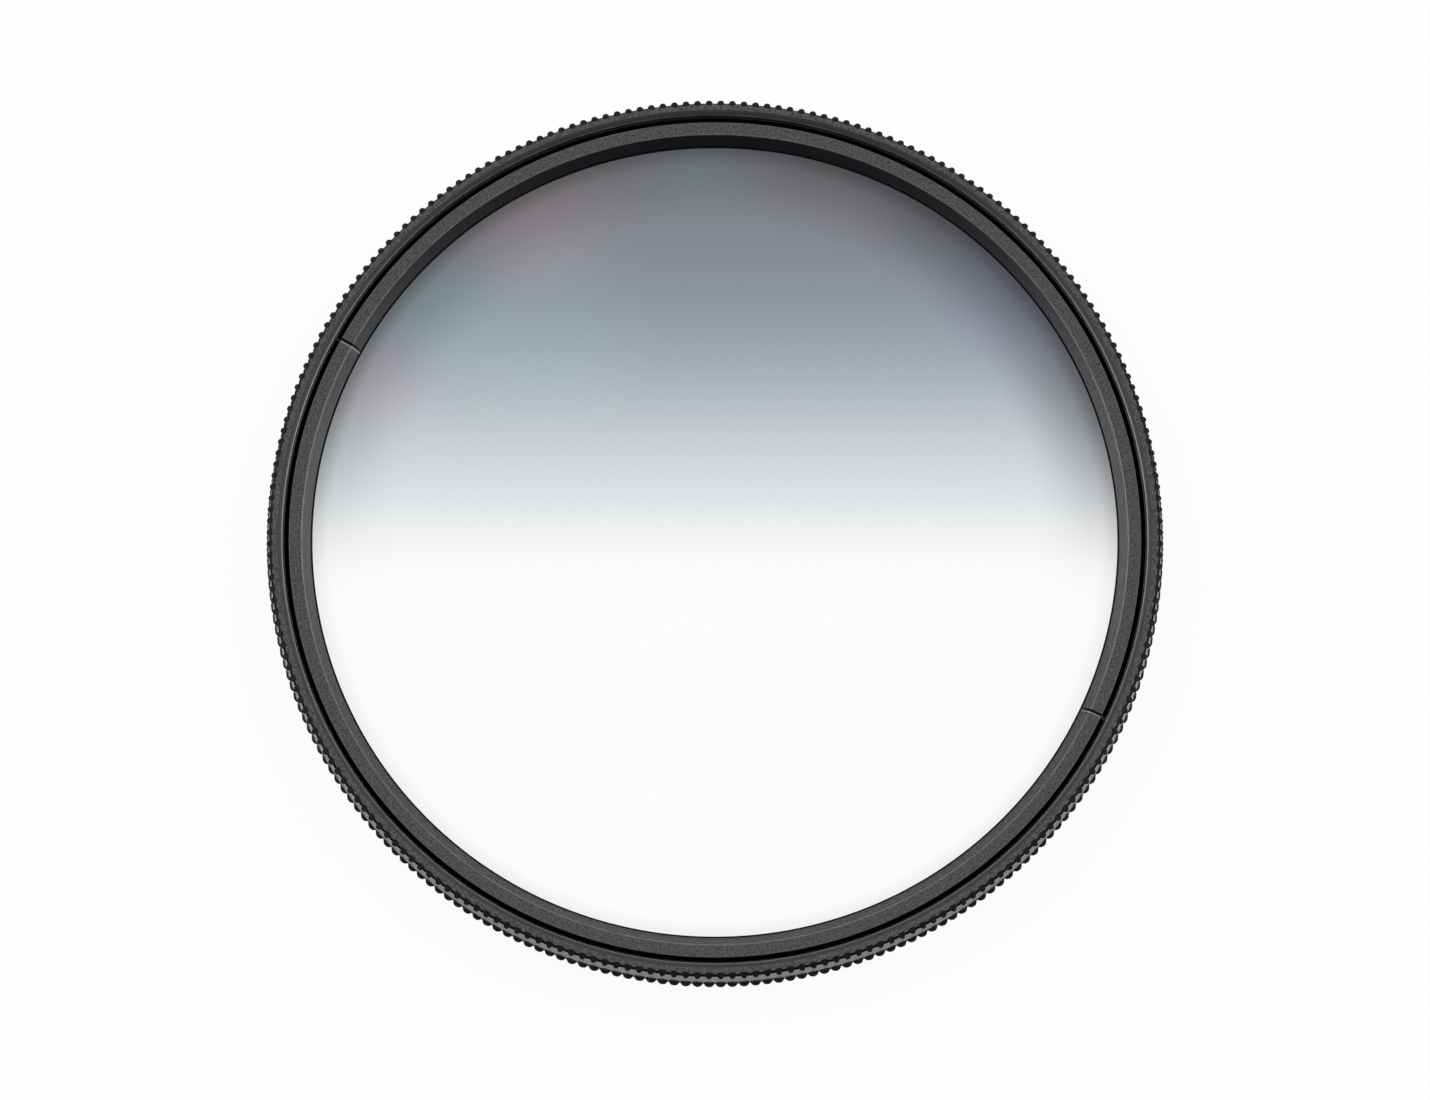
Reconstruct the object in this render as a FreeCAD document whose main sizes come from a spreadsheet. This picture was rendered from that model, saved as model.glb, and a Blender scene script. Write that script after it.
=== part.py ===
"""Round screw-in graduated neutral density filter in a rotating mount.

Millimetres. The optical axis is Z and +Z is the front. Z = 0 is the rear end of the lens thread.
"""

import FreeCAD
import Part
import Sketcher
import os

DOC = FreeCAD.newDocument("graduated_filter")

# Driving dimensions: name, size in millimetres (degrees for angles), what it measures
DIMENSIONS = [
    ("thread_radius", 38.5, "major radius of the lens thread and of the clamp ring's thread"),
    ("thread_length", 2.3, "lens thread, from its rear end to the flange"),
    ("thread_chamfer", 0.3, "lead-in chamfer of the lens thread"),
    ("thread_wall", 1.6, "wall of the threaded tube"),
    ("relief_width", 0.5, "thread relief under the flange, along the axis"),
    ("relief_depth", 0.5, "thread relief under the flange, radial"),
    ("grip_overhang", 1.5, "outside of both rings over the thread radius"),
    ("valley_count", 240, "valleys, and ridges, round each ring"),
    ("valley_depth", 0.45, "valley between two ridges, radial"),
    ("valley_width", 0.8, "valley between two ridges, at their tops"),
    ("bearing_floor", 0.25, "counterbore floor over the flange's underside"),
    ("bearing_gap", 0.3, "skirt end over the counterbore floor"),
    ("parting_gap", 0.1, "gap between the two rings"),
    ("skirt_inset", 0.2, "outside of the skirt under the thread radius"),
    ("skirt_clearance", 0.06, "running clearance of the skirt, radial"),
    ("skirt_wall", 0.7, "wall of the skirt round the glass"),
    ("web_thickness", 0.8, "web that joins the skirt to the front ring"),
    ("front_knurl_height", 0.55, "front ridges, from the front face down"),
    ("front_rim_fall", 0.58, "front ridges fall inwards by this towards the front"),
    ("land_undercut", 0.03, "top of the tapered land behind the valleys, radial"),
    ("land_chamfer", 0.12, "edge break under the tapered land"),
    ("lip_chamfer", 0.25, "inner chamfer of the front lip"),
    ("seat_width", 1.3, "lip under the glass, radial"),
    ("seat_thickness", 0.5, "lip under the glass"),
    ("glass_thickness", 1.6, "filter glass"),
    ("glass_chamfer", 0.15, "edge chamfer of the glass"),
    ("glass_clearance", 0.1, "glass in the skirt, radial"),
    ("clamp_gap", 0.1, "clamp ring's thread over the glass"),
    ("clamp_clearance", 0.05, "clamp ring's thread in its bore, radial"),
    ("clamp_thread_length", 0.45, "clamp ring's thread"),
    ("clamp_height", 1.15, "clamp ring's face over the glass"),
    ("clamp_sink", 0.45, "clamp ring's face under the front face"),
    ("neck_step", 0.47, "clamp ring's face inside its thread, radial"),
    ("face_width", 1.14, "clamp ring's flat face, radial"),
    ("bevel_width", 0.94, "clamp ring's inner bevel, radial"),
    ("bevel_foot", 0.15, "upright edge under the bevel"),
    ("slot_width", 0.34, "spanner slot"),
    ("slot_depth", 0.4, "spanner slot"),
    ("slot_count", 2, "spanner slots"),
    ("slot_angle", 151.5, "first spanner slot, from +X"),
    ("slot_spread", 183.4, "last spanner slot, from the first"),
    ("snap_thickness", 0.5, "snap ring, both ways across its section"),
    ("snap_clearance", 0.05, "snap ring in its two grooves"),
    ("snap_opening", 12, "angle left open in the snap ring"),
]


def make_sheet():
    """Spreadsheet with one named cell for each driving dimension."""
    sheet = DOC.addObject("Spreadsheet::Sheet", "Dims")
    for row, (alias, size, meaning) in enumerate(DIMENSIONS, start=1):
        sheet.set(f"A{row}", meaning)
        sheet.set(f"B{row}", str(size))
        sheet.setAlias(f"B{row}", alias)
    DOC.recompute()
    return sheet


SHEET = make_sheet()

# Levels along the axis, from the rear end to the front face
FLANGE_BOTTOM = "Dims.thread_length"
BEARING_FLOOR = f"({FLANGE_BOTTOM} + Dims.bearing_floor)"
SKIRT_BOTTOM = f"({BEARING_FLOOR} + Dims.bearing_gap)"
GLASS_BOTTOM = f"({SKIRT_BOTTOM} + Dims.seat_thickness)"
GLASS_TOP = f"({GLASS_BOTTOM} + Dims.glass_thickness)"
FRONT_BOTTOM = f"({GLASS_TOP} - Dims.web_thickness)"
FLANGE_TOP = f"({FRONT_BOTTOM} - Dims.parting_gap)"
CLAMP_BOTTOM = f"({GLASS_TOP} + Dims.clamp_gap)"
CLAMP_SHOULDER = f"({CLAMP_BOTTOM} + Dims.clamp_thread_length)"
CLAMP_FACE = f"({GLASS_TOP} + Dims.clamp_height)"
FRONT_FACE = f"({CLAMP_FACE} + Dims.clamp_sink)"
LAND_TOP = f"({FRONT_FACE} - Dims.front_knurl_height)"

# Radii, each from the thread radius
THREAD = "Dims.thread_radius"
GRIP = f"({THREAD} + Dims.grip_overhang)"
REAR_OPENING = f"({THREAD} - Dims.thread_wall)"
SKIRT = f"({THREAD} - Dims.skirt_inset)"
COUNTERBORE = f"({SKIRT} + Dims.skirt_clearance)"
SKIRT_BORE = f"({SKIRT} - Dims.skirt_wall)"
GLASS = f"({SKIRT_BORE} - Dims.glass_clearance)"
SEAT = f"({GLASS} - Dims.seat_width)"
VALLEY_ROOT = f"({GRIP} - Dims.valley_depth)"
CLAMP = f"({THREAD} - Dims.clamp_clearance)"
NECK = f"({CLAMP} - Dims.neck_step)"
BEVEL_TOP = f"({NECK} - Dims.face_width)"
BEVEL_FOOT = f"({BEVEL_TOP} - Dims.bevel_width)"

# The snap ring stands half in the skirt and half in the counterbore, midway up the skirt
SNAP_LEVEL = f"(({SKIRT_BOTTOM} + {FLANGE_TOP}) / 2)"
SNAP_CENTRE = f"(({SKIRT} + {COUNTERBORE}) / 2)"
SNAP_HALF = "(Dims.snap_thickness / 2)"
GROOVE_HALF = f"({SNAP_HALF} + Dims.snap_clearance)"
GROOVE_INNER = f"({SNAP_CENTRE} - {GROOVE_HALF})"
GROOVE_OUTER = f"({SNAP_CENTRE} + {GROOVE_HALF})"
GROOVE_BOTTOM = f"({SNAP_LEVEL} - {GROOVE_HALF})"
GROOVE_TOP = f"({SNAP_LEVEL} + {GROOVE_HALF})"


def number(expression):
    """Present value of an expression over the sheet."""
    return float(SHEET.evalExpression(expression))


def new_body(name):
    """Body for one piece; its label names the piece."""
    body = DOC.addObject("PartDesign::Body", name)
    body.Label = name
    return body


def new_sketch(body, name, role):
    """Empty sketch on one of the body's own origin planes."""
    plane = next(item for item in body.Origin.OriginFeatures if item.Role == role)
    sketch = body.newObject("Sketcher::SketchObject", name)
    sketch.AttachmentSupport = [(plane, "")]
    sketch.MapMode = "FlatFace"
    return sketch


def draw_outline(sketch, corners):
    """Closed outline through corners (across, up), each an expression, or None where it lies on that axis."""
    spots = []
    for across, up in corners:
        spots.append(FreeCAD.Vector(number(across or "0"), number(up or "0"), 0))
    for start, end in zip(spots, spots[1:] + spots[:1]):
        sketch.addGeometry(Part.LineSegment(start, end), False)
    for edge, (across, up) in enumerate(corners):
        following = (edge + 1) % len(corners)
        sketch.addConstraint(Sketcher.Constraint("Coincident", edge, 2, following, 1))
        for kind, axis, expression in (("DistanceX", -2, across), ("DistanceY", -1, up)):
            if expression is None:
                sketch.addConstraint(Sketcher.Constraint("PointOnObject", edge, 1, axis))
                continue
            held = Sketcher.Constraint(kind, -1, 1, edge, 1, number(expression))
            sketch.setExpression(f"Constraints[{sketch.addConstraint(held)}]", expression)


def turn(body, name, corners, angle="360"):
    """Turn a section, given as corners (radius, height), about the optical axis."""
    section = new_sketch(body, f"{name}_section", "XZ_Plane")
    draw_outline(section, corners)
    ring = body.newObject("PartDesign::Revolution", name)
    ring.Profile = section
    ring.ReferenceAxis = (section, ["V_Axis"])
    ring.setExpression("Angle", angle)
    DOC.recompute()


def cut_round(body, name, outline, top, turned_by, depth, count, extent):
    """Cut an outline down from a level and repeat the cut round the optical axis."""
    sketch = new_sketch(body, f"{name}_outline", "XY_Plane")
    sketch.setExpression("AttachmentOffset.Base.z", top)
    sketch.setExpression("AttachmentOffset.Rotation.Angle", turned_by)
    draw_outline(sketch, outline)
    before = body.Tip.Shape.Volume
    cut = body.newObject("PartDesign::Pocket", name)
    cut.Profile = sketch
    cut.Type = "Length"
    cut.setExpression("Length", depth)
    DOC.recompute()
    if cut.Shape.Volume >= before:
        raise RuntimeError(f"{name} cuts nothing")
    pattern = body.newObject("PartDesign::PolarPattern", f"{name}_pattern")
    pattern.Originals = [cut]
    pattern.Axis = (sketch, ["N_Axis"])
    pattern.setExpression("Angle", extent)
    pattern.setExpression("Occurrences", count)
    body.Tip = pattern
    DOC.recompute()


def knurl(body, name, top, height):
    """Valleys of V section cut into the rim, which leave the ridges of the grip between them."""
    # The V runs on outside the rim to twice its depth, where it is twice as wide
    outside = f"({GRIP} + Dims.valley_depth)"
    valley = [(VALLEY_ROOT, None), (outside, "Dims.valley_width"), (outside, "-Dims.valley_width")]
    cut_round(body, name, valley, top, "0", height, "Dims.valley_count", "360")


def rear_mount_ring():
    """Lens thread, knurled flange, and the counterbore in which the skirt turns."""
    body = new_body("rear_mount_ring")
    relief = f"({THREAD} - Dims.relief_depth)"
    relief_bottom = f"({FLANGE_BOTTOM} - Dims.relief_width)"
    turn(body, "rear_ring_blank", [
        (REAR_OPENING, None),
        (f"({THREAD} - Dims.thread_chamfer)", None),
        (THREAD, "Dims.thread_chamfer"),
        (THREAD, relief_bottom),
        (relief, relief_bottom),
        (relief, FLANGE_BOTTOM),
        (GRIP, FLANGE_BOTTOM),
        (GRIP, FLANGE_TOP),
        (COUNTERBORE, FLANGE_TOP),
        (COUNTERBORE, GROOVE_TOP),
        (GROOVE_OUTER, GROOVE_TOP),
        (GROOVE_OUTER, GROOVE_BOTTOM),
        (COUNTERBORE, GROOVE_BOTTOM),
        (COUNTERBORE, BEARING_FLOOR),
        (REAR_OPENING, BEARING_FLOOR),
    ])
    knurl(body, "rear_valley", FLANGE_TOP, f"({FLANGE_TOP} - {FLANGE_BOTTOM})")
    return body


def front_rotating_ring():
    """Knurled front rim over a smooth tapered land, threaded bore, and the skirt that carries the glass."""
    body = new_body("front_rotating_ring")
    turn(body, "front_ring_blank", [
        (SEAT, SKIRT_BOTTOM),
        (SKIRT, SKIRT_BOTTOM),
        (SKIRT, GROOVE_BOTTOM),
        (GROOVE_INNER, GROOVE_BOTTOM),
        (GROOVE_INNER, GROOVE_TOP),
        (SKIRT, GROOVE_TOP),
        (SKIRT, FRONT_BOTTOM),
        (f"({GRIP} - Dims.land_chamfer)", FRONT_BOTTOM),
        (GRIP, f"({FRONT_BOTTOM} + Dims.land_chamfer)"),
        (f"({VALLEY_ROOT} - Dims.land_undercut)", LAND_TOP),
        (GRIP, LAND_TOP),
        (f"({GRIP} - Dims.front_rim_fall)", FRONT_FACE),
        (f"({THREAD} + Dims.lip_chamfer)", FRONT_FACE),
        (THREAD, f"({FRONT_FACE} - Dims.lip_chamfer)"),
        (THREAD, GLASS_TOP),
        (SKIRT_BORE, GLASS_TOP),
        (SKIRT_BORE, GLASS_BOTTOM),
        (SEAT, GLASS_BOTTOM),
    ])
    knurl(body, "front_valley", FRONT_FACE, "Dims.front_knurl_height")
    return body


def retaining_ring():
    """Threaded clamp ring with a flat face, an inner bevel and two spanner slots."""
    body = new_body("retaining_ring")
    turn(body, "clamp_blank", [
        (BEVEL_FOOT, GLASS_TOP),
        (GLASS, GLASS_TOP),
        (GLASS, CLAMP_BOTTOM),
        (CLAMP, CLAMP_BOTTOM),
        (CLAMP, CLAMP_SHOULDER),
        (NECK, CLAMP_SHOULDER),
        (NECK, CLAMP_FACE),
        (BEVEL_TOP, CLAMP_FACE),
        (BEVEL_FOOT, f"({GLASS_TOP} + Dims.bevel_foot)"),
    ])
    half = "(Dims.slot_width / 2)"
    slot = [(BEVEL_FOOT, f"-{half}"), (CLAMP, f"-{half}"), (CLAMP, half), (BEVEL_FOOT, half)]
    first, depth = "Dims.slot_angle", "Dims.slot_depth"
    cut_round(body, "spanner_slot", slot, CLAMP_FACE, first, depth, "Dims.slot_count", "Dims.slot_spread")
    return body


def filter_glass():
    """Flat round glass with broken edges."""
    body = new_body("filter_glass")
    face = f"({GLASS} - Dims.glass_chamfer)"
    turn(body, "glass_disc", [
        (None, GLASS_BOTTOM),
        (face, GLASS_BOTTOM),
        (GLASS, f"({GLASS_BOTTOM} + Dims.glass_chamfer)"),
        (GLASS, f"({GLASS_TOP} - Dims.glass_chamfer)"),
        (face, GLASS_TOP),
        (None, GLASS_TOP),
    ])
    return body


def snap_ring():
    """Open spring ring that keeps the front ring in the rear ring."""
    body = new_body("snap_ring")
    inner = f"({SNAP_CENTRE} - {SNAP_HALF})"
    outer = f"({SNAP_CENTRE} + {SNAP_HALF})"
    bottom = f"({SNAP_LEVEL} - {SNAP_HALF})"
    top = f"({SNAP_LEVEL} + {SNAP_HALF})"
    corners = [(inner, bottom), (outer, bottom), (outer, top), (inner, top)]
    turn(body, "open_ring", corners, "360 - Dims.snap_opening")
    return body


def check_document(pieces):
    """Stop before anything is written if a feature failed or a piece isn't one sound solid."""
    for item in DOC.Objects:
        if "Invalid" in item.State or "Error" in item.State:
            raise RuntimeError(f"{item.Label} failed: {item.State}")
    for piece in pieces:
        if piece.Shape.isNull() or not piece.Shape.isValid() or len(piece.Shape.Solids) != 1:
            raise RuntimeError(f"{piece.Label} isn't one valid solid")


def main():
    pieces = [rear_mount_ring(), front_rotating_ring(), retaining_ring(), filter_glass(), snap_ring()]
    DOC.recompute()
    check_document(pieces)
    os.makedirs("parts", exist_ok=True)
    for piece in pieces:
        piece.Shape.exportStep(f"parts/{piece.Label}.step")
        print(piece.Label, round(piece.Shape.Volume, 2), "mm3,", len(piece.Shape.Faces), "faces")


main()
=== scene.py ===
"""Round screw-in graduated filter: knurled front and rear rings, slotted clamp ring and graduated glass.

Sizes in the code are millimetres, on the frame's own axes: +Z is the front, +Y the dark side of the glass.
"""

import math

import bmesh
import bpy
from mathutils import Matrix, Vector


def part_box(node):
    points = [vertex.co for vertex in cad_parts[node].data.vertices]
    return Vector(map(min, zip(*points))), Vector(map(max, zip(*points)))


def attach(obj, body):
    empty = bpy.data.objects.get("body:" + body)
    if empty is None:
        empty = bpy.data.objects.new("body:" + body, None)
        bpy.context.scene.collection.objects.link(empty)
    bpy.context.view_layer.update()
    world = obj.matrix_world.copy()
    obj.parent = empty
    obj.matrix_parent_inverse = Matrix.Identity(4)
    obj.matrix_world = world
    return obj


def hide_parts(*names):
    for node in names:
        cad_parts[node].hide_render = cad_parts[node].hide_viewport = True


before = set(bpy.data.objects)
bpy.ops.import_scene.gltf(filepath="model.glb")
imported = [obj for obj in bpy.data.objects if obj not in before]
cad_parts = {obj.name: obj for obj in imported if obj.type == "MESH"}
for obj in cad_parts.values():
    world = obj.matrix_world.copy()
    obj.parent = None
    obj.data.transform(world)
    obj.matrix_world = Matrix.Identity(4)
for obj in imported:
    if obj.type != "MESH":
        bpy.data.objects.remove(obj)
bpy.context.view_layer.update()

MM = 0.001

# Ridges round each ring, the angle from one to the next, and the first one's turn from +X in such angles
RIDGES = 240
PITCH = math.tau / RIDGES
FIRST_TURN = 0.5

# Ridges join their ring at points this close, and corners sharper than this angle stay crisp
JOIN_DISTANCE = 0.001 * MM
CRISP_CORNER = math.radians(38)


def levels(node):
    """Lowest and highest level of a solid."""
    low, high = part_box(node)
    return low.z / MM, high.z / MM


# Levels along the axis
PARTING_GAP = 0.1
LAND_CHAMFER = 0.12
FRONT_KNURL_HEIGHT = 0.55
FLANGE_BOTTOM = 2.3
FLANGE_TOP = levels("rear_mount_ring")[1]
SKIRT_BOTTOM, FRONT_FACE = levels("front_rotating_ring")
FRONT_BOTTOM = FLANGE_TOP + PARTING_GAP
LAND_BOTTOM = FRONT_BOTTOM + LAND_CHAMFER
LAND_TOP = FRONT_FACE - FRONT_KNURL_HEIGHT
GLASS_BOTTOM, GLASS_TOP = levels("filter_glass")
CLAMP_FACE = levels("retaining_ring")[1]
SNAP_BOTTOM, SNAP_TOP = levels("snap_ring")
THREAD_END = 1.8

# Radii
RIM = 40.0
VALLEY = 39.55
REAR_VALLEY = 39.7
LAND_NECK = 39.72
LAND_FOOT = 39.86
FLAT_EDGE = 39.42
RIDGE_SEAT = 39.3
THREAD = 38.5
COUNTERBORE = 38.36
SKIRT = 38.3
SKIRT_BORE = 37.6
GLASS = 37.5
CLAMP_NECK = 37.98
BEVEL_TOP = 36.84
BEVEL_FOOT = 35.88
REAR_OPENING = 36.9
SEAT = 36.2

# Depth of the snap ring's groove in each ring
SNAP_GROOVE = 0.27

# Finish of a turned strip, kept on its faces as (turned, edge, matte, polish); the third mark draws a strip
# matt black as painted shade
FINISH_MARKS = ("turned", "edge", "matte", "polish")
BLASTED = (0.0, 0.0, 0.0, 0.0)
TURNED = (1.0, 0.0, 0.0, 0.0)
POLISHED = (1.0, 0.0, 0.0, 0.7)
EDGE = (1.0, 0.45, 0.0, 1.0)
WORN = (1.0, 1.5, 0.0, 1.0)
# Matt black strip, drawn as painted shade
MATTE_SHADE = (0.0, 0.0, 1.0, 0.0)


def spot(radius, angle, height):
    """Point in metres from a radius, an angle and a height."""
    return Vector((radius * math.cos(angle), radius * math.sin(angle), height)) * MM


def soften(corners):
    """Stations (radius, height, finish) of an outline, from its corners (radius, height, rounding, finish).

    A corner's finish belongs to the strip that leaves it, and an eased corner is an edge.
    """
    steps, hold = 3, 1.3
    stations = []
    for index, (radius, height, rounding, finish) in enumerate(corners):
        here = Vector((radius, height))
        if not rounding:
            stations.append((radius, height, finish))
            continue
        before = corners[index - 1]
        after = corners[(index + 1) % len(corners)]
        back = (Vector(before[:2]) - here).normalized()
        ahead = (Vector(after[:2]) - here).normalized()
        start = here + back * rounding
        end = here + ahead * rounding
        stations.append((*(here + back * rounding * hold), before[3]))
        for step in range(steps + 1):
            share = step / steps
            point = start * (1 - share) ** 2 + here * 2 * share * (1 - share) + end * share ** 2
            stations.append((*point, EDGE if step < steps else finish))
        stations.append((*(here + ahead * rounding * hold), finish))
    return stations


def even_columns():
    """Angles round a ring, one at each valley of the knurl."""
    return [lambda radius, index=index: index * PITCH for index in range(RIDGES)]


def turn_ring(name, stations, closed=True, columns=None, shape=None, finish_at=None):
    """Ring turned about the axis from its stations.

    shape may move a station at a column, and finish_at may give the strip there another finish.
    """
    blank = bmesh.new()
    marks = [blank.faces.layers.float.new(label) for label in FINISH_MARKS]
    columns = columns or even_columns()
    grid = []
    for number, angle_at in enumerate(columns):
        line = []
        for radius, height, finish in stations:
            angle = angle_at(radius)
            if shape:
                radius, height = shape(radius, height, number, angle)
            line.append(blank.verts.new(spot(radius, angle, height)))
        grid.append(line)
    last = len(stations) if closed else len(stations) - 1
    for number, line in enumerate(grid):
        beside = grid[(number + 1) % len(grid)]
        for index in range(last):
            following = (index + 1) % len(stations)
            face = blank.faces.new((line[index], beside[index], beside[following], line[following]))
            finish = finish_at(number, stations[index]) if finish_at else stations[index][2]
            for mark, value in zip(marks, finish):
                face[mark] = value
    return keep_mesh(name, blank)


def keep_mesh(name, blank):
    """Object from a bmesh, with doubles merged and faces without area taken out."""
    bmesh.ops.remove_doubles(blank, verts=blank.verts, dist=1e-7)
    bmesh.ops.dissolve_degenerate(blank, edges=blank.edges, dist=1e-8)
    mesh = bpy.data.meshes.new(name)
    blank.to_mesh(mesh)
    blank.free()
    piece = bpy.data.objects.new(name, mesh)
    bpy.context.scene.collection.objects.link(piece)
    return piece


def settle(piece, material=None):
    """Outward normals, smooth faces with crisp corners, and a material for the piece if one is given."""
    mesh = piece.data
    whole = bmesh.new()
    whole.from_mesh(mesh)
    bmesh.ops.recalc_face_normals(whole, faces=whole.faces)
    whole.to_mesh(mesh)
    whole.free()
    mesh.shade_smooth()
    mesh.set_sharp_from_angle(angle=CRISP_CORNER)
    if material:
        mesh.materials.append(material)


# Camera

def place_camera():
    """Camera over the front of the filter, leaning back towards -Y."""
    look_down = math.radians(78.5)
    distance, far_limit = 2.0, 20
    sensor_width, focal_length = 36, 564.8
    aim = Vector((0.005, -0.84, 5.0)) * MM
    back = Vector((0, -math.cos(look_down), math.sin(look_down)))
    lens = bpy.data.cameras.new("camera")
    lens.sensor_width = sensor_width
    lens.lens = focal_length
    lens.clip_end = far_limit
    camera = bpy.data.objects.new("camera", lens)
    camera.location = aim + back * distance
    camera.rotation_mode = "QUATERNION"
    camera.rotation_quaternion = (-back).to_track_quat("-Z", "Y")
    bpy.context.scene.collection.objects.link(camera)
    bpy.context.scene.camera = camera


place_camera()


# Nodes

def fill(tree, socket, value):
    """Link from another socket, or a plain value, put into a socket."""
    if isinstance(value, bpy.types.NodeSocket):
        tree.links.new(value, socket)
    else:
        socket.default_value = value


def add(tree, kind, **settings):
    """New node with its properties set and its inputs filled by name or number."""
    node = tree.nodes.new(kind)
    inputs = settings.pop("inputs", {})
    for key, value in settings.items():
        setattr(node, key, value)
    for key, value in inputs.items():
        fill(tree, node.inputs[key], value)
    return node


def math_node(tree, operation, first, second=0.0, third=0.0, clamp=False):
    """Result of one sum on sockets or numbers."""
    inputs = {0: first, 1: second, 2: third}
    return add(tree, "ShaderNodeMath", operation=operation, use_clamp=clamp, inputs=inputs).outputs[0]


def spread(tree, value, start, end, low=0.0, high=1.0, step="LINEAR"):
    """Value between start and end drawn out from low to high."""
    inputs = {0: value, 1: start, 2: end, 3: low, 4: high}
    return add(tree, "ShaderNodeMapRange", interpolation_type=step, inputs=inputs).outputs[0]


def smooth(tree, value, start, end, low, high):
    """Soft step of a length in metres from one number to another between two millimetre marks."""
    return spread(tree, value, start * MM, end * MM, low, high, "SMOOTHSTEP")


def blend(tree, share, first, second, kind="FLOAT", mode="MIX"):
    """Mix of two numbers or colours by a share."""
    node = add(tree, "ShaderNodeMix", data_type=kind, blend_type=mode)
    sockets = {"FLOAT": (0, 2, 3, 0), "RGBA": (0, 6, 7, 2)}[kind]
    for index, value in zip(sockets, (share, first, second)):
        fill(tree, node.inputs[index], value)
    return node.outputs[sockets[3]]


def axis_distance(tree, parts):
    """Distance from the optical axis, from a node that has parted a place into X, Y and Z."""
    flat = add(tree, "ShaderNodeCombineXYZ", inputs={0: parts.outputs[0], 1: parts.outputs[1]}).outputs[0]
    return add(tree, "ShaderNodeVectorMath", operation="LENGTH", inputs={0: flat}).outputs["Value"]


def mark_value(tree, name):
    """Finish mark kept on the faces of a piece."""
    return add(tree, "ShaderNodeAttribute", attribute_name=name).outputs["Fac"]


def bump_normal(tree, shader, height, strength, depth):
    """Fine relief, a depth in millimetres, on a shader's normal."""
    inputs = {"Strength": strength, "Distance": depth * MM, "Height": height}
    bump = add(tree, "ShaderNodeBump", inputs=inputs)
    tree.links.new(bump.outputs[0], shader.inputs["Normal"])


def new_group(name, kind, inputs, outputs):
    """Empty node group with named sockets; gives the tree, its input node and its output node."""
    tree = bpy.data.node_groups.new(name, kind)
    for label, socket, value in inputs:
        made = tree.interface.new_socket(name=label, in_out="INPUT", socket_type=socket)
        if value is not None:
            made.default_value = value
    for label, socket in outputs:
        tree.interface.new_socket(name=label, in_out="OUTPUT", socket_type=socket)
    return tree, tree.nodes.new("NodeGroupInput"), tree.nodes.new("NodeGroupOutput")


def use_group(tree, group, **inputs):
    """Only output of a shader group placed in a material."""
    node = add(tree, "ShaderNodeGroup", node_tree=group)
    for key, value in inputs.items():
        fill(tree, node.inputs[key.replace("_", " ")], value)
    return node.outputs[0]


# Shared finishes

def make_blasted_grain():
    """Fine pitting that bead blasting leaves, from 0 to 1."""
    tree, source, result = new_group(
        "blasted_grain", "ShaderNodeTree",
        [("Vector", "NodeSocketVector", None), ("Grain Size", "NodeSocketFloat", 0.16)],
        [("Grain", "NodeSocketFloat")],
    )
    scale = math_node(tree, "DIVIDE", 1 / MM, source.outputs["Grain Size"])
    inputs = {"Vector": source.outputs["Vector"], "Scale": scale, "Detail": 2.0, "Roughness": 0.6}
    noise = add(tree, "ShaderNodeTexNoise", inputs=inputs)
    tree.links.new(spread(tree, noise.outputs[0], 0.36, 0.64), result.inputs["Grain"])
    return tree


def make_turning_lines():
    """Fine lines of the lathe tool round the axis, from 0 to 1."""
    tree, source, result = new_group(
        "turning_lines", "ShaderNodeTree",
        [("Vector", "NodeSocketVector", None), ("Line Width", "NodeSocketFloat", 0.06)],
        [("Lines", "NodeSocketFloat")],
    )
    parts = add(tree, "ShaderNodeSeparateXYZ", inputs={0: source.outputs["Vector"]})
    across = math_node(tree, "ADD", axis_distance(tree, parts), parts.outputs[2])
    scale = math_node(tree, "DIVIDE", 1 / MM, source.outputs["Line Width"])
    inputs = {"W": across, "Scale": scale, "Detail": 1.0}
    noise = add(tree, "ShaderNodeTexNoise", noise_dimensions="1D", inputs=inputs)
    tree.links.new(spread(tree, noise.outputs[0], 0.3, 0.7), result.inputs["Lines"])
    return tree


def make_edge_wear():
    """Where handling has rubbed the eased edges bright, from 0 to 1."""
    tree, source, result = new_group(
        "edge_wear", "ShaderNodeTree",
        [
            ("Vector", "NodeSocketVector", None),
            ("Edge", "NodeSocketFloat", 0.0),
            ("Amount", "NodeSocketFloat", 0.5),
        ],
        [("Wear", "NodeSocketFloat")],
    )
    inputs = {"Vector": source.outputs["Vector"], "Scale": 900.0, "Detail": 3.0}
    noise = add(tree, "ShaderNodeTexNoise", inputs=inputs)
    patch = spread(tree, noise.outputs[0], 0.3, 0.62, 0.35, 1.0)
    worn = math_node(tree, "MULTIPLY", patch, source.outputs["Edge"])
    share = math_node(tree, "MULTIPLY", worn, source.outputs["Amount"], clamp=True)
    tree.links.new(share, result.inputs["Wear"])
    return tree


def make_soft_spot():
    """Soft round patch about a centre, from 0 outside to 1 in its middle."""
    tree, source, result = new_group(
        "soft_spot", "ShaderNodeTree",
        [
            ("Vector", "NodeSocketVector", None),
            ("Centre", "NodeSocketVector", (0.0, 0.0, 0.0)),
            ("Reach", "NodeSocketFloat", 0.01),
        ],
        [("Mask", "NodeSocketFloat")],
    )
    inputs = {0: source.outputs["Vector"], 1: source.outputs["Centre"]}
    away = add(tree, "ShaderNodeVectorMath", operation="DISTANCE", inputs=inputs).outputs["Value"]
    share = math_node(tree, "DIVIDE", away, source.outputs["Reach"])
    fall = spread(tree, share, 0.0, 1.0, 1.0, 0.0, "SMOOTHERSTEP")
    tree.links.new(fall, result.inputs["Mask"])
    return tree


BLASTED_GRAIN = make_blasted_grain()
TURNING_LINES = make_turning_lines()
EDGE_WEAR = make_edge_wear()
SOFT_SPOT = make_soft_spot()


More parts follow.
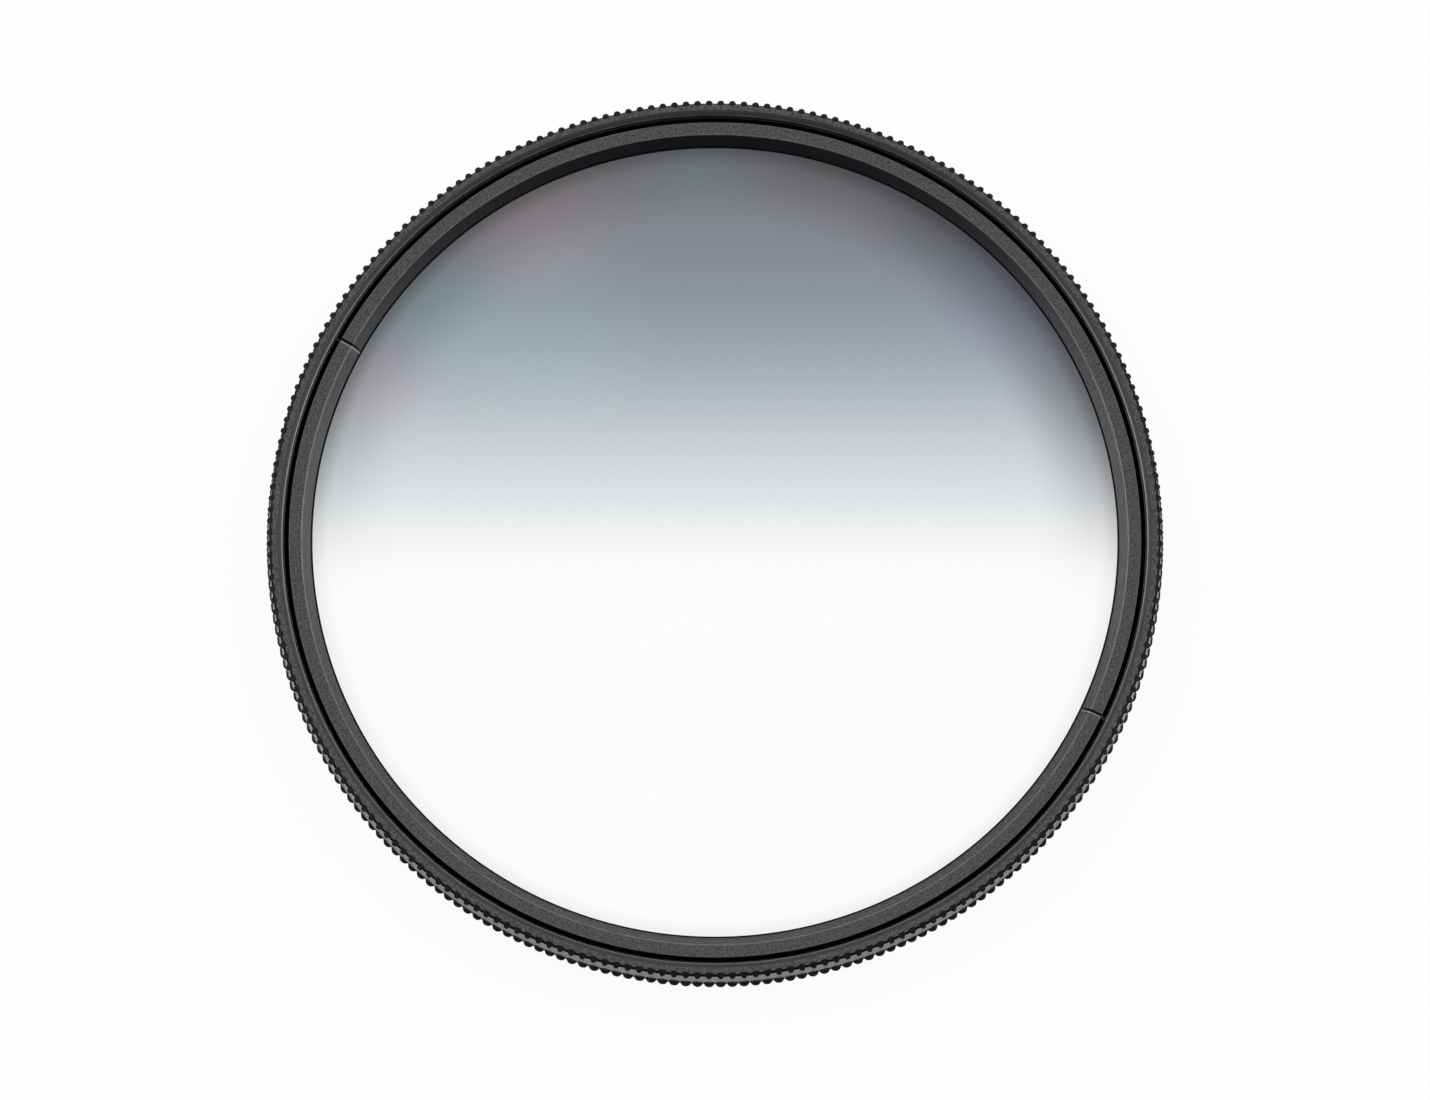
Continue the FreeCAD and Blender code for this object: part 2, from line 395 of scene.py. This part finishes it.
def new_material(name):
    """Material with its Principled shader and its Object coordinates."""
    material = bpy.data.materials.new(name)
    material.use_nodes = True
    tree = material.node_tree
    shader = next(node for node in tree.nodes if node.type == "BSDF_PRINCIPLED")
    place = tree.nodes.new("ShaderNodeTexCoord").outputs["Object"]
    return material, tree, shader, place


def black_anodised(name, grain_size, wear):
    """Black anodised aluminium: blasted flats, smoother turned walls, and edges that shine a little."""
    pit_black, skin_black = (0.001, 0.001, 0.0012, 1), (0.066, 0.066, 0.065, 1)
    wall_black, bare_metal = (0.003, 0.003, 0.007, 1), (0.42, 0.41, 0.39, 1)
    line_width, bump_strength, bump_depth = 0.07, 0.5, 0.02
    material, tree, shader, place = new_material(name)
    turned = mark_value(tree, "turned")
    edge = mark_value(tree, "edge")
    grain = use_group(tree, BLASTED_GRAIN, Vector=place, Grain_Size=grain_size)
    lines = use_group(tree, TURNING_LINES, Vector=place, Line_Width=line_width)
    worn = use_group(tree, EDGE_WEAR, Vector=place, Edge=edge, Amount=wear)
    flat = blend(tree, grain, pit_black, skin_black, "RGBA")
    black = blend(tree, turned, flat, wall_black, "RGBA")
    colour = blend(tree, worn, black, bare_metal, "RGBA")
    flat_rough = math_node(tree, "MULTIPLY_ADD", grain, 0.2, 0.34)
    wall_rough = math_node(tree, "MULTIPLY_ADD", lines, 0.1, 0.26)
    rough = blend(tree, turned, flat_rough, wall_rough)
    tree.links.new(colour, shader.inputs["Base Color"])
    tree.links.new(math_node(tree, "MULTIPLY", worn, 0.9), shader.inputs["Metallic"])
    tree.links.new(rough, shader.inputs["Roughness"])
    tree.links.new(mark_value(tree, "polish"), shader.inputs["Coat Weight"])
    shader.inputs["Coat Roughness"].default_value = 0.15
    shader.inputs["IOR"].default_value = 1.55
    bump_normal(tree, shader, blend(tree, turned, grain, lines), bump_strength, bump_depth)
    return material


def matte_knurl(name, skin_index):
    """Black anodised ridges, left matt by the knurling wheel; a lower index of the skin shines less."""
    pit_black, skin_black = (0.002, 0.002, 0.0022, 1), (0.01, 0.01, 0.0105, 1)
    grain_size, bump_strength, bump_depth = 0.12, 0.5, 0.02
    material, tree, shader, place = new_material(name)
    grain = use_group(tree, BLASTED_GRAIN, Vector=place, Grain_Size=grain_size)
    colour = blend(tree, grain, pit_black, skin_black, "RGBA")
    tree.links.new(colour, shader.inputs["Base Color"])
    tree.links.new(math_node(tree, "MULTIPLY_ADD", grain, 0.2, 0.5), shader.inputs["Roughness"])
    shader.inputs["IOR"].default_value = skin_index
    bump_normal(tree, shader, grain, bump_strength, bump_depth)
    return material


def gradient(tree, parts):
    """Colour of the glass along Y, from clear to dark."""
    clear_at, dark_at = -4 * MM, 36 * MM
    stops = [
        (0.0, (1.0, 1.0, 1.0)),
        (0.075, (0.99, 0.992, 0.995)),
        (0.2, (0.765, 0.795, 0.815)),
        (0.36, (0.555, 0.6, 0.635)),
        (0.5, (0.38, 0.42, 0.46)),
        (0.64, (0.272, 0.31, 0.35)),
        (0.82, (0.225, 0.235, 0.262)),
        (1.0, (0.2, 0.205, 0.22)),
    ]
    ramp = add(tree, "ShaderNodeValToRGB", inputs={0: spread(tree, parts.outputs[1], clear_at, dark_at)})
    band = ramp.color_ramp
    band.interpolation = "B_SPLINE"
    while len(band.elements) < len(stops):
        band.elements.new(0.5)
    for element, (position, colour) in zip(band.elements, stops):
        element.position = position
        element.color = (*colour, 1)
    return ramp.outputs[0]


def painted_coating_sheen(tree, place, colour):
    """Painted sheen: faint pink, green and violet patches over a colour, standing in for the coating's
    coloured reflections.
    """
    sheen_patches = [
        ((-17, 30, 4), 12, (1.27, 1.06, 1.08)),
        ((-25, 21, 4), 9, (0.94, 1.07, 1.04)),
        ((-30, 15, 4), 7, (1.12, 0.97, 1.01)),
        ((-15, 20, 4), 14, (1.0, 1.1, 1.06)),
        ((-1, 34.5, 4), 7, (0.95, 1.1, 1.05)),
        ((14, 32.5, 4), 7, (1.14, 1.05, 1.08)),
        ((27, 23, 4), 13, (0.99, 0.97, 1.08)),
    ]
    # Each patch multiplies the glass colour by a painted sheen colour
    for centre, reach, sheen_colour in sheen_patches:
        middle = [length * MM for length in centre]
        mask = use_group(tree, SOFT_SPOT, Vector=place, Centre=middle, Reach=reach * MM)
        colour = blend(tree, mask, colour, (*sheen_colour, 1), "RGBA", "MULTIPLY")
    return colour


def rim_shade(tree, parts):
    """Painted shadow of the rings on the floor under the glass: grey that darkens the glass towards its rim,
    most on the dark half and to the right, with a thin darker line just inside the rim.
    """
    radius = axis_distance(tree, parts)
    upper = smooth(tree, parts.outputs[1], -6, 14, 0.0, 1.0)
    right = smooth(tree, parts.outputs[0], -5, 20, 0.33, 0.6)
    wide = smooth(tree, radius, 28, 36.2, 0.0, 1.0)
    thin = smooth(tree, radius, 34.2, 36, 0.0, 0.4)
    shade = math_node(tree, "MULTIPLY", math_node(tree, "MULTIPLY", wide, right), upper)
    line = math_node(tree, "MULTIPLY", thin, math_node(tree, "MULTIPLY_ADD", upper, 0.75, 0.25))
    past_shade = math_node(tree, "SUBTRACT", 1.0, shade)
    past_line = math_node(tree, "SUBTRACT", 1.0, line)
    left = math_node(tree, "MULTIPLY", past_shade, past_line)
    return add(tree, "ShaderNodeCombineColor", inputs={0: left, 1: left, 2: left}).outputs[0]


def graduated_glass():
    """Coated glass, dark towards +Y and clear towards -Y, with the coating's coloured sheen painted in as
    faint patches and painted shadow towards its rim.
    """
    material, tree, shader, place = new_material("graduated_glass")
    parts = add(tree, "ShaderNodeSeparateXYZ", inputs={0: place})
    with_sheen = painted_coating_sheen(tree, place, gradient(tree, parts))
    # The glass colour is multiplied by the painted shadow towards the rim
    colour = blend(tree, 1.0, with_sheen, rim_shade(tree, parts), "RGBA", "MULTIPLY")
    tree.links.new(colour, shader.inputs["Base Color"])
    shader.inputs["Roughness"].default_value = 0.0
    shader.inputs["Transmission Weight"].default_value = 1.0
    shader.inputs["IOR"].default_value = 1.33
    return material


def spring_steel():
    """Bright drawn steel with fine lines along the wire."""
    dull_steel, bright_steel = (0.42, 0.42, 0.41, 1), (0.56, 0.56, 0.55, 1)
    line_width, grain_size, bump_strength, bump_depth = 0.04, 0.3, 0.3, 0.01
    material, tree, shader, place = new_material("spring_steel")
    lines = use_group(tree, TURNING_LINES, Vector=place, Line_Width=line_width)
    grain = use_group(tree, BLASTED_GRAIN, Vector=place, Grain_Size=grain_size)
    colour = blend(tree, grain, dull_steel, bright_steel, "RGBA")
    tree.links.new(colour, shader.inputs["Base Color"])
    tree.links.new(math_node(tree, "MULTIPLY_ADD", lines, 0.2, 0.2), shader.inputs["Roughness"])
    shader.inputs["Metallic"].default_value = 1.0
    bump_normal(tree, shader, lines, bump_strength, bump_depth)
    return material


RING_FINISH = black_anodised("blasted_black_rings", 0.22, 0.4)
FRONT_KNURL_FINISH = matte_knurl("black_front_knurl", 1.22)
REAR_KNURL_FINISH = matte_knurl("black_rear_knurl", 1.05)
CLAMP_FINISH = black_anodised("blasted_black_clamp", 0.19, 0.4)
# Painted shade: the bevel's foot takes a matt, barely reflecting black that draws the dark line along the
# edge of the glass
FOOT_SHADE_FINISH = matte_knurl("black_bevel_foot", 1.08)
GLASS_FINISH = graduated_glass()
STEEL_FINISH = spring_steel()


# Knurl

def ridge_blank(name, rows, upper, lower, valley, foot, ledge_painted_shade):
    """One ridge of the knurl, centred on +X, with a corner pair above and below.

    Each row is (height, most radius, fullness): a fullness under 1 draws the ridge in to a rounded end.
    upper and lower are (radius, height) of the plain ring that the ridge joins, valley is the radius
    between ridges, and foot is the ridge's half width as a share of the pitch. When asked, the ledge
    under the ridges takes their matt black finish as painted shade between the ridges.
    """
    roundness, crest = 2.6, RIM - 0.01
    flank = (0.33, 0.63, 0.85, 1.0)
    half = [0.0, *(foot * share for share in flank), 0.5]
    shares = [-share for share in half[:0:-1]] + half
    blank = bmesh.new()
    turned = blank.faces.layers.float.new("turned")
    knurled = blank.faces.layers.float.new("knurled")
    grid = []
    for height, most, fullness in rows:
        line = []
        for share in shares:
            across = abs(share) / (foot * fullness) if fullness else 1.0
            bulge = math.sqrt(fullness) * max(0.0, 1 - across ** roundness)
            if most < valley:
                radius = valley - (valley - most) * bulge
            else:
                radius = min(valley + (crest - valley) * bulge, most)
            line.append(blank.verts.new(spot(radius, share * PITCH, height)))
        grid.append(line)
    for above, below in zip(grid, grid[1:]):
        for index, (left, right) in enumerate(zip(shares, shares[1:])):
            face = blank.faces.new((above[index], above[index + 1], below[index + 1], below[index]))
            face[turned] = 1.0
            face[knurled] = float(abs(left + right) / 2 < foot)
    for (radius, height), line, below in ((upper, grid[0], False), (lower, grid[-1], True)):
        corners = [blank.verts.new(spot(radius, share * PITCH, height)) for share in (0.5, -0.5)]
        face = blank.faces.new([*line, *corners])
        face[turned] = float(below)
        # Painted shade: when asked, the ledge at the ridges' foot is marked knurled and takes their matt
        # black finish
        face[knurled] = float(below and ledge_painted_shade)
    return keep_mesh(name, blank)


def make_knurl_tree():
    """Ridges set round the axis and grown together with the ring that carries them."""
    tree, source, result = new_group(
        "knurl_round_ring", "GeometryNodeTree",
        [
            ("Ring", "NodeSocketGeometry", None),
            ("Ridge", "NodeSocketObject", None),
            ("Ridge Count", "NodeSocketInt", RIDGES),
            ("First Turn", "NodeSocketFloat", FIRST_TURN),
            ("Join Distance", "NodeSocketFloat", JOIN_DISTANCE),
            ("Ring Finish", "NodeSocketMaterial", None),
            ("Ridge Finish", "NodeSocketMaterial", None),
        ],
        [("Knurled Ring", "NodeSocketGeometry")],
    )
    ask = source.outputs
    count = ask["Ridge Count"]
    number = add(tree, "GeometryNodeInputIndex").outputs[0]
    step = math_node(tree, "DIVIDE", math.tau, count)
    place = math_node(tree, "ADD", number, ask["First Turn"])
    angle = math_node(tree, "MULTIPLY", place, step)
    turn = add(tree, "ShaderNodeCombineXYZ", inputs={2: angle})
    shape = add(tree, "GeometryNodeObjectInfo", inputs={"Object": ask["Ridge"]})
    points = add(tree, "GeometryNodePoints", inputs={"Count": count})
    ridges = add(tree, "GeometryNodeInstanceOnPoints", inputs={
        "Points": points.outputs[0],
        "Instance": shape.outputs["Geometry"],
        "Rotation": turn.outputs[0],
    })
    real = add(tree, "GeometryNodeRealizeInstances", inputs={0: ridges.outputs[0]})
    both = add(tree, "GeometryNodeJoinGeometry")
    tree.links.new(ask["Ring"], both.inputs[0])
    tree.links.new(real.outputs[0], both.inputs[0])
    whole = add(tree, "GeometryNodeMergeByDistance", inputs={
        "Geometry": both.outputs[0],
        "Distance": ask["Join Distance"],
    })
    plain = add(tree, "GeometryNodeSetMaterial", inputs={
        "Geometry": whole.outputs[0],
        "Material": ask["Ring Finish"],
    })
    # Faces marked knurled take the ridge finish: the ridges themselves, and a ledge drawn matt black as
    # painted shade
    knurled = add(tree, "GeometryNodeInputNamedAttribute", data_type="FLOAT", inputs={"Name": "knurled"})
    dressed = add(tree, "GeometryNodeSetMaterial", inputs={
        "Geometry": plain.outputs[0],
        "Selection": knurled.outputs[0],
        "Material": ask["Ridge Finish"],
    })
    tree.links.new(dressed.outputs[0], result.inputs[0])
    return tree


KNURL = make_knurl_tree()


def knurl_ring(ring, ridge, finish, ridge_finish):
    """Ring with its ridges as one plain closed mesh."""
    modifier = ring.modifiers.new("knurl", "NODES")
    modifier.node_group = KNURL
    asked = {
        "Ridge": ridge,
        "Ridge Count": RIDGES,
        "First Turn": FIRST_TURN,
        "Join Distance": JOIN_DISTANCE,
        "Ring Finish": finish,
        "Ridge Finish": ridge_finish,
    }
    for item in KNURL.interface.items_tree:
        if item.in_out == "INPUT" and item.name in asked:
            modifier[item.identifier] = asked[item.name]
    graph = bpy.context.evaluated_depsgraph_get()
    grown = ring.evaluated_get(graph)
    mesh = bpy.data.meshes.new_from_object(grown, preserve_all_data_layers=True, depsgraph=graph)
    ring.modifiers.clear()
    ring.data = mesh
    mesh.name = ring.name
    bpy.data.objects.remove(ridge)
    settle(ring)


# Pieces

def front_ring():
    """Front ring: sloped ridges, tapered land, polished inner lip, and the skirt that carries the glass."""
    lip_wall, lip_edge, lip_top = 38.38, 38.57, 39.0
    lip_bottom, lip_level = FRONT_FACE - 0.5, FRONT_FACE - 0.18
    crest_bottom, crest_lead = GLASS_TOP + 0.7, 0.06
    corners = [
        (LAND_NECK, LAND_TOP, 0, POLISHED),
        (LAND_FOOT, LAND_BOTTOM, 0.03, TURNED),
        (LAND_FOOT - LAND_CHAMFER, FRONT_BOTTOM, 0.03, TURNED),
        (SKIRT, FRONT_BOTTOM, 0, TURNED),
        (SKIRT, SNAP_TOP, 0, TURNED),
        (SKIRT - SNAP_GROOVE, SNAP_TOP, 0, TURNED),
        (SKIRT - SNAP_GROOVE, SNAP_BOTTOM, 0, TURNED),
        (SKIRT, SNAP_BOTTOM, 0, TURNED),
        (SKIRT, SKIRT_BOTTOM, 0.06, TURNED),
        (SEAT, SKIRT_BOTTOM, 0.06, TURNED),
        (SEAT, GLASS_BOTTOM, 0, TURNED),
        (SKIRT_BORE, GLASS_BOTTOM, 0, TURNED),
        (SKIRT_BORE, GLASS_TOP, 0, TURNED),
        (THREAD, GLASS_TOP, 0, TURNED),
        (THREAD, crest_bottom, 0, TURNED),
        (lip_wall, crest_bottom + crest_lead, 0, TURNED),
        (lip_wall, lip_bottom, 0.07, TURNED),
        (lip_edge, lip_level, 0.08, TURNED),
        (lip_top, FRONT_FACE, 0, BLASTED),
        (RIDGE_SEAT, FRONT_FACE, 0, BLASTED),
    ]
    ring = turn_ring("front_knurled_ring", soften(corners), closed=False)
    height, slope, foot = FRONT_FACE - LAND_TOP, 0.85, 0.35
    fullness_down = [
        (0.0, 1.0),
        (0.22, 1.0),
        (0.4, 1.0),
        (0.58, 1.0),
        (0.74, 0.96),
        (0.87, 0.82),
        (0.95, 0.54),
        (1.0, 0.0),
    ]
    rows = []
    for share, fullness in fullness_down:
        most = FLAT_EDGE + (RIM - FLAT_EDGE) * math.sin(share * math.pi / 2) ** slope
        rows.append((FRONT_FACE - height * share, most, fullness))
    upper, lower = (RIDGE_SEAT, FRONT_FACE), (LAND_NECK, LAND_TOP)
    # The ledge between and under the front ridges is drawn matt black as painted shade
    ridge = ridge_blank("front_ridge", rows, upper, lower, VALLEY, foot, ledge_painted_shade=True)
    knurl_ring(ring, ridge, RING_FINISH, FRONT_KNURL_FINISH)
    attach(ring, "rotating_cell")
    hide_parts("front_rotating_ring")


def lens_thread(radius, height, number, angle):
    """Station of the rear ring moved in to the lens thread, a right-hand helix."""
    bore_limit = 38.1
    pitch, depth = 0.75, 0.46
    crest_share, flank_share = 0.14, 0.64
    if radius < bore_limit or height > THREAD_END:
        return radius, height
    phase = (height / pitch - angle / math.tau) % 1.0
    flank = min(1.0, max(0.0, (abs(phase - 0.5) * 2 - crest_share) / flank_share))
    return min(radius, THREAD - depth * flank), height


def rear_ring():
    """Rear ring: lens thread, relief, knurled flange and the counterbore for the skirt."""
    floor, relief = FLANGE_BOTTOM + 0.25, THREAD - 0.5
    thread_step, lead_in = 0.05, 0.3
    corners = [
        (RIDGE_SEAT, FLANGE_TOP, 0, TURNED),
        (COUNTERBORE, FLANGE_TOP, 0.04, TURNED),
        (COUNTERBORE, SNAP_TOP, 0, TURNED),
        (COUNTERBORE + SNAP_GROOVE, SNAP_TOP, 0, TURNED),
        (COUNTERBORE + SNAP_GROOVE, SNAP_BOTTOM, 0, TURNED),
        (COUNTERBORE, SNAP_BOTTOM, 0, TURNED),
        (COUNTERBORE, floor, 0, TURNED),
        (REAR_OPENING, floor, 0.05, TURNED),
        (REAR_OPENING, 0.0, 0.06, TURNED),
        (THREAD - lead_in, 0.0, 0, TURNED),
    ]
    for step in range(1, round(THREAD_END / thread_step) + 1):
        height = step * thread_step
        corners.append((THREAD - max(lead_in - height, 0.0), height, 0, TURNED))
    corners += [
        (relief, THREAD_END, 0, TURNED),
        (relief, FLANGE_BOTTOM, 0, TURNED),
        (RIDGE_SEAT, FLANGE_BOTTOM, 0, TURNED),
    ]
    ring = turn_ring("rear_threaded_ring", soften(corners), closed=False, shape=lens_thread)
    ease, foot = 0.08, 0.44
    rows = [
        (FLANGE_TOP, RIM - ease, 1.0),
        (FLANGE_TOP - ease, RIM, 1.0),
        (FLANGE_BOTTOM + ease, RIM, 1.0),
        (FLANGE_BOTTOM, RIM - ease, 1.0),
    ]
    upper, lower = (RIDGE_SEAT, FLANGE_TOP), (RIDGE_SEAT, FLANGE_BOTTOM)
    ridge = ridge_blank("rear_ridge", rows, upper, lower, REAR_VALLEY, foot, ledge_painted_shade=False)
    knurl_ring(ring, ridge, RING_FINISH, REAR_KNURL_FINISH)
    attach(ring, "rear_ring")
    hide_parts("rear_mount_ring")


def slot_columns(depth):
    """Columns of the clamp ring, with those of its two spanner slots among them.

    Gives the columns, how far each one drops, and the numbers of those that begin a slot's eased edge,
    which is on the side of the slot that lies towards -Y.
    """
    slots = [math.radians(151.5), math.radians(334.9)]
    room = math.radians(0.6)
    upper, lower, ease, ease_drop = 0.17, -0.09, 0.09, 0.05
    across = [(lower - ease, 0.0), (lower, ease_drop), (lower, depth), (upper, depth), (upper, 0.0)]
    columns, drops, eased = [], [], set()
    for index in range(RIDGES):
        angle = index * PITCH
        if not any(abs(angle - slot) < room for slot in slots):
            columns.append(lambda radius, angle=angle: angle)
            drops.append(0.0)
        for slot in slots:
            if angle <= slot < angle + PITCH:
                way = math.copysign(1.0, math.cos(slot))
                eased.add(len(columns) if way > 0 else len(columns) + len(across) - 2)
                for side, drop in across[::int(way)]:
                    columns.append(lambda radius, slot=slot, side=side * way: slot + math.asin(side / radius))
                    drops.append(drop)
    return columns, drops, eased


def clamp_ring():
    """Clamp ring: flat face, inner bevel, thread under a sloped shoulder, and two spanner slots."""
    foot_top, foot_lean = GLASS_TOP + 0.15, 0.17
    thread, thread_bottom, thread_top = 38.45, GLASS_TOP + 0.1, GLASS_TOP + 0.2
    shoulder = CLAMP_FACE - 0.3
    columns, drops, eased = slot_columns(CLAMP_FACE - foot_top)
    corners = [
        (BEVEL_FOOT, GLASS_TOP, 0, TURNED),
        (GLASS, GLASS_TOP, 0, TURNED),
        (GLASS, thread_bottom, 0, TURNED),
        (thread, thread_bottom, 0.03, TURNED),
        (thread, thread_top, 0.03, TURNED),
        (CLAMP_NECK, shoulder, 0, TURNED),
        (CLAMP_NECK, CLAMP_FACE, 0.06, BLASTED),
        (BEVEL_TOP, CLAMP_FACE, 0.06, TURNED),
        # Painted shade: this strip at the bevel's foot is drawn matt black as the dark line along the glass
        (BEVEL_FOOT + foot_lean, foot_top, 0, MATTE_SHADE),
    ]

    def spanner_slot(radius, height, number, angle):
        """Station let down into a slot, no deeper than the foot of the bevel."""
        return radius, max(foot_top, height - drops[number]) if height > foot_top else height

    def slot_finish(number, station):
        """Finish of a station's strip, worn along a slot's eased edge."""
        return WORN if number in eased and station[1] > foot_top else station[2]

    ring = turn_ring(
        "slotted_clamp_ring", soften(corners),
        columns=columns, shape=spanner_slot, finish_at=slot_finish,
    )
    settle(ring, CLAMP_FINISH)
    # Faces marked as the matt strip take the painted-shade finish of the bevel's foot
    ring.data.materials.append(FOOT_SHADE_FINISH)
    matte = ring.data.attributes["matte"].data
    for face in ring.data.polygons:
        face.material_index = round(matte[face.index].value)
    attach(ring, "rotating_cell")
    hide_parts("retaining_ring")


def glass_disc():
    """Round glass with ground edges."""
    bevel, ease, middle = 0.15, 0.02, 18.0
    corners = [
        (0.0, GLASS_BOTTOM, 0, TURNED),
        (middle, GLASS_BOTTOM, 0, TURNED),
        (GLASS - bevel, GLASS_BOTTOM, ease, TURNED),
        (GLASS, GLASS_BOTTOM + bevel, ease, TURNED),
        (GLASS, GLASS_TOP - bevel, ease, TURNED),
        (GLASS - bevel, GLASS_TOP, ease, TURNED),
        (middle, GLASS_TOP, 0, TURNED),
        (0.0, GLASS_TOP, 0, TURNED),
    ]
    disc = turn_ring("graduated_glass_disc", soften(corners), closed=False)
    settle(disc, GLASS_FINISH)
    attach(disc, "rotating_cell")
    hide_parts("filter_glass")


front_ring()
rear_ring()
clamp_ring()
glass_disc()
for steel_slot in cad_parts["snap_ring"].material_slots:
    steel_slot.material = STEEL_FINISH


# Floor and light

def white_floor():
    """Wide white floor; what looks at it sees it near white, and the filter's shadow stays on it."""
    floor_radius, floor_sides, floor_drop = 3.0, 96, 0.02 * MM
    seen_white, mirrored_white = 0.93, 0.1
    blank = bmesh.new()
    bmesh.ops.create_circle(blank, cap_ends=True, segments=floor_sides, radius=floor_radius)
    bmesh.ops.translate(blank, verts=blank.verts, vec=(0, 0, -floor_drop))
    floor = keep_mesh("floor", blank)
    material = bpy.data.materials.new("white_floor")
    material.use_nodes = True
    tree = material.node_tree
    tree.nodes.clear()
    path = tree.nodes.new("ShaderNodeLightPath").outputs
    seen = math_node(tree, "MAXIMUM", path["Is Camera Ray"], path["Is Transmission Ray"])
    direct = math_node(tree, "MULTIPLY", seen, seen_white)
    mirrored = math_node(tree, "MULTIPLY", path["Is Glossy Ray"], mirrored_white)
    share = math_node(tree, "MAXIMUM", direct, mirrored)
    paper = add(tree, "ShaderNodeBsdfDiffuse", inputs={"Color": (0.96, 0.96, 0.96, 1)})
    shine = add(tree, "ShaderNodeEmission", inputs={"Color": (1, 1, 1, 1), "Strength": 1.0})
    both = add(tree, "ShaderNodeMixShader", inputs={0: share, 1: paper.outputs[0], 2: shine.outputs[0]})
    add(tree, "ShaderNodeOutputMaterial", inputs={0: both.outputs[0]})
    floor.data.materials.append(material)


def soft_light():
    """Soft light from above, behind and both sides, with the camera's side left dim."""
    dim_from, dim_to, dim_most = -0.15, -0.65, 0.95
    side_hold, side_boxes, brightness = 0.5, 3.0, 1.3
    world = bpy.data.worlds.new("soft_light")
    bpy.context.scene.world = world
    world.use_nodes = True
    tree = world.node_tree
    tree.nodes.clear()
    sky_place = tree.nodes.new("ShaderNodeTexCoord").outputs["Generated"]
    way = add(tree, "ShaderNodeSeparateXYZ", inputs={0: sky_place})
    aside = math_node(tree, "POWER", way.outputs[0], 2.0)
    front = spread(tree, way.outputs[1], dim_from, dim_to, 0.0, dim_most, "SMOOTHSTEP")
    hold = math_node(tree, "MULTIPLY_ADD", aside, -side_hold, 1.0)
    dim = math_node(tree, "MULTIPLY", front, hold)
    boxes = math_node(tree, "MULTIPLY_ADD", math_node(tree, "POWER", aside, 4.0), side_boxes, 1.0)
    level = math_node(tree, "MULTIPLY", math_node(tree, "SUBTRACT", 1.0, dim), boxes)
    strength = math_node(tree, "MULTIPLY", level, brightness)
    sky = add(tree, "ShaderNodeBackground", inputs={"Strength": strength})
    add(tree, "ShaderNodeOutputWorld", inputs={0: sky.outputs[0]})


white_floor()
soft_light()
bpy.context.scene.view_settings.view_transform = "Standard"
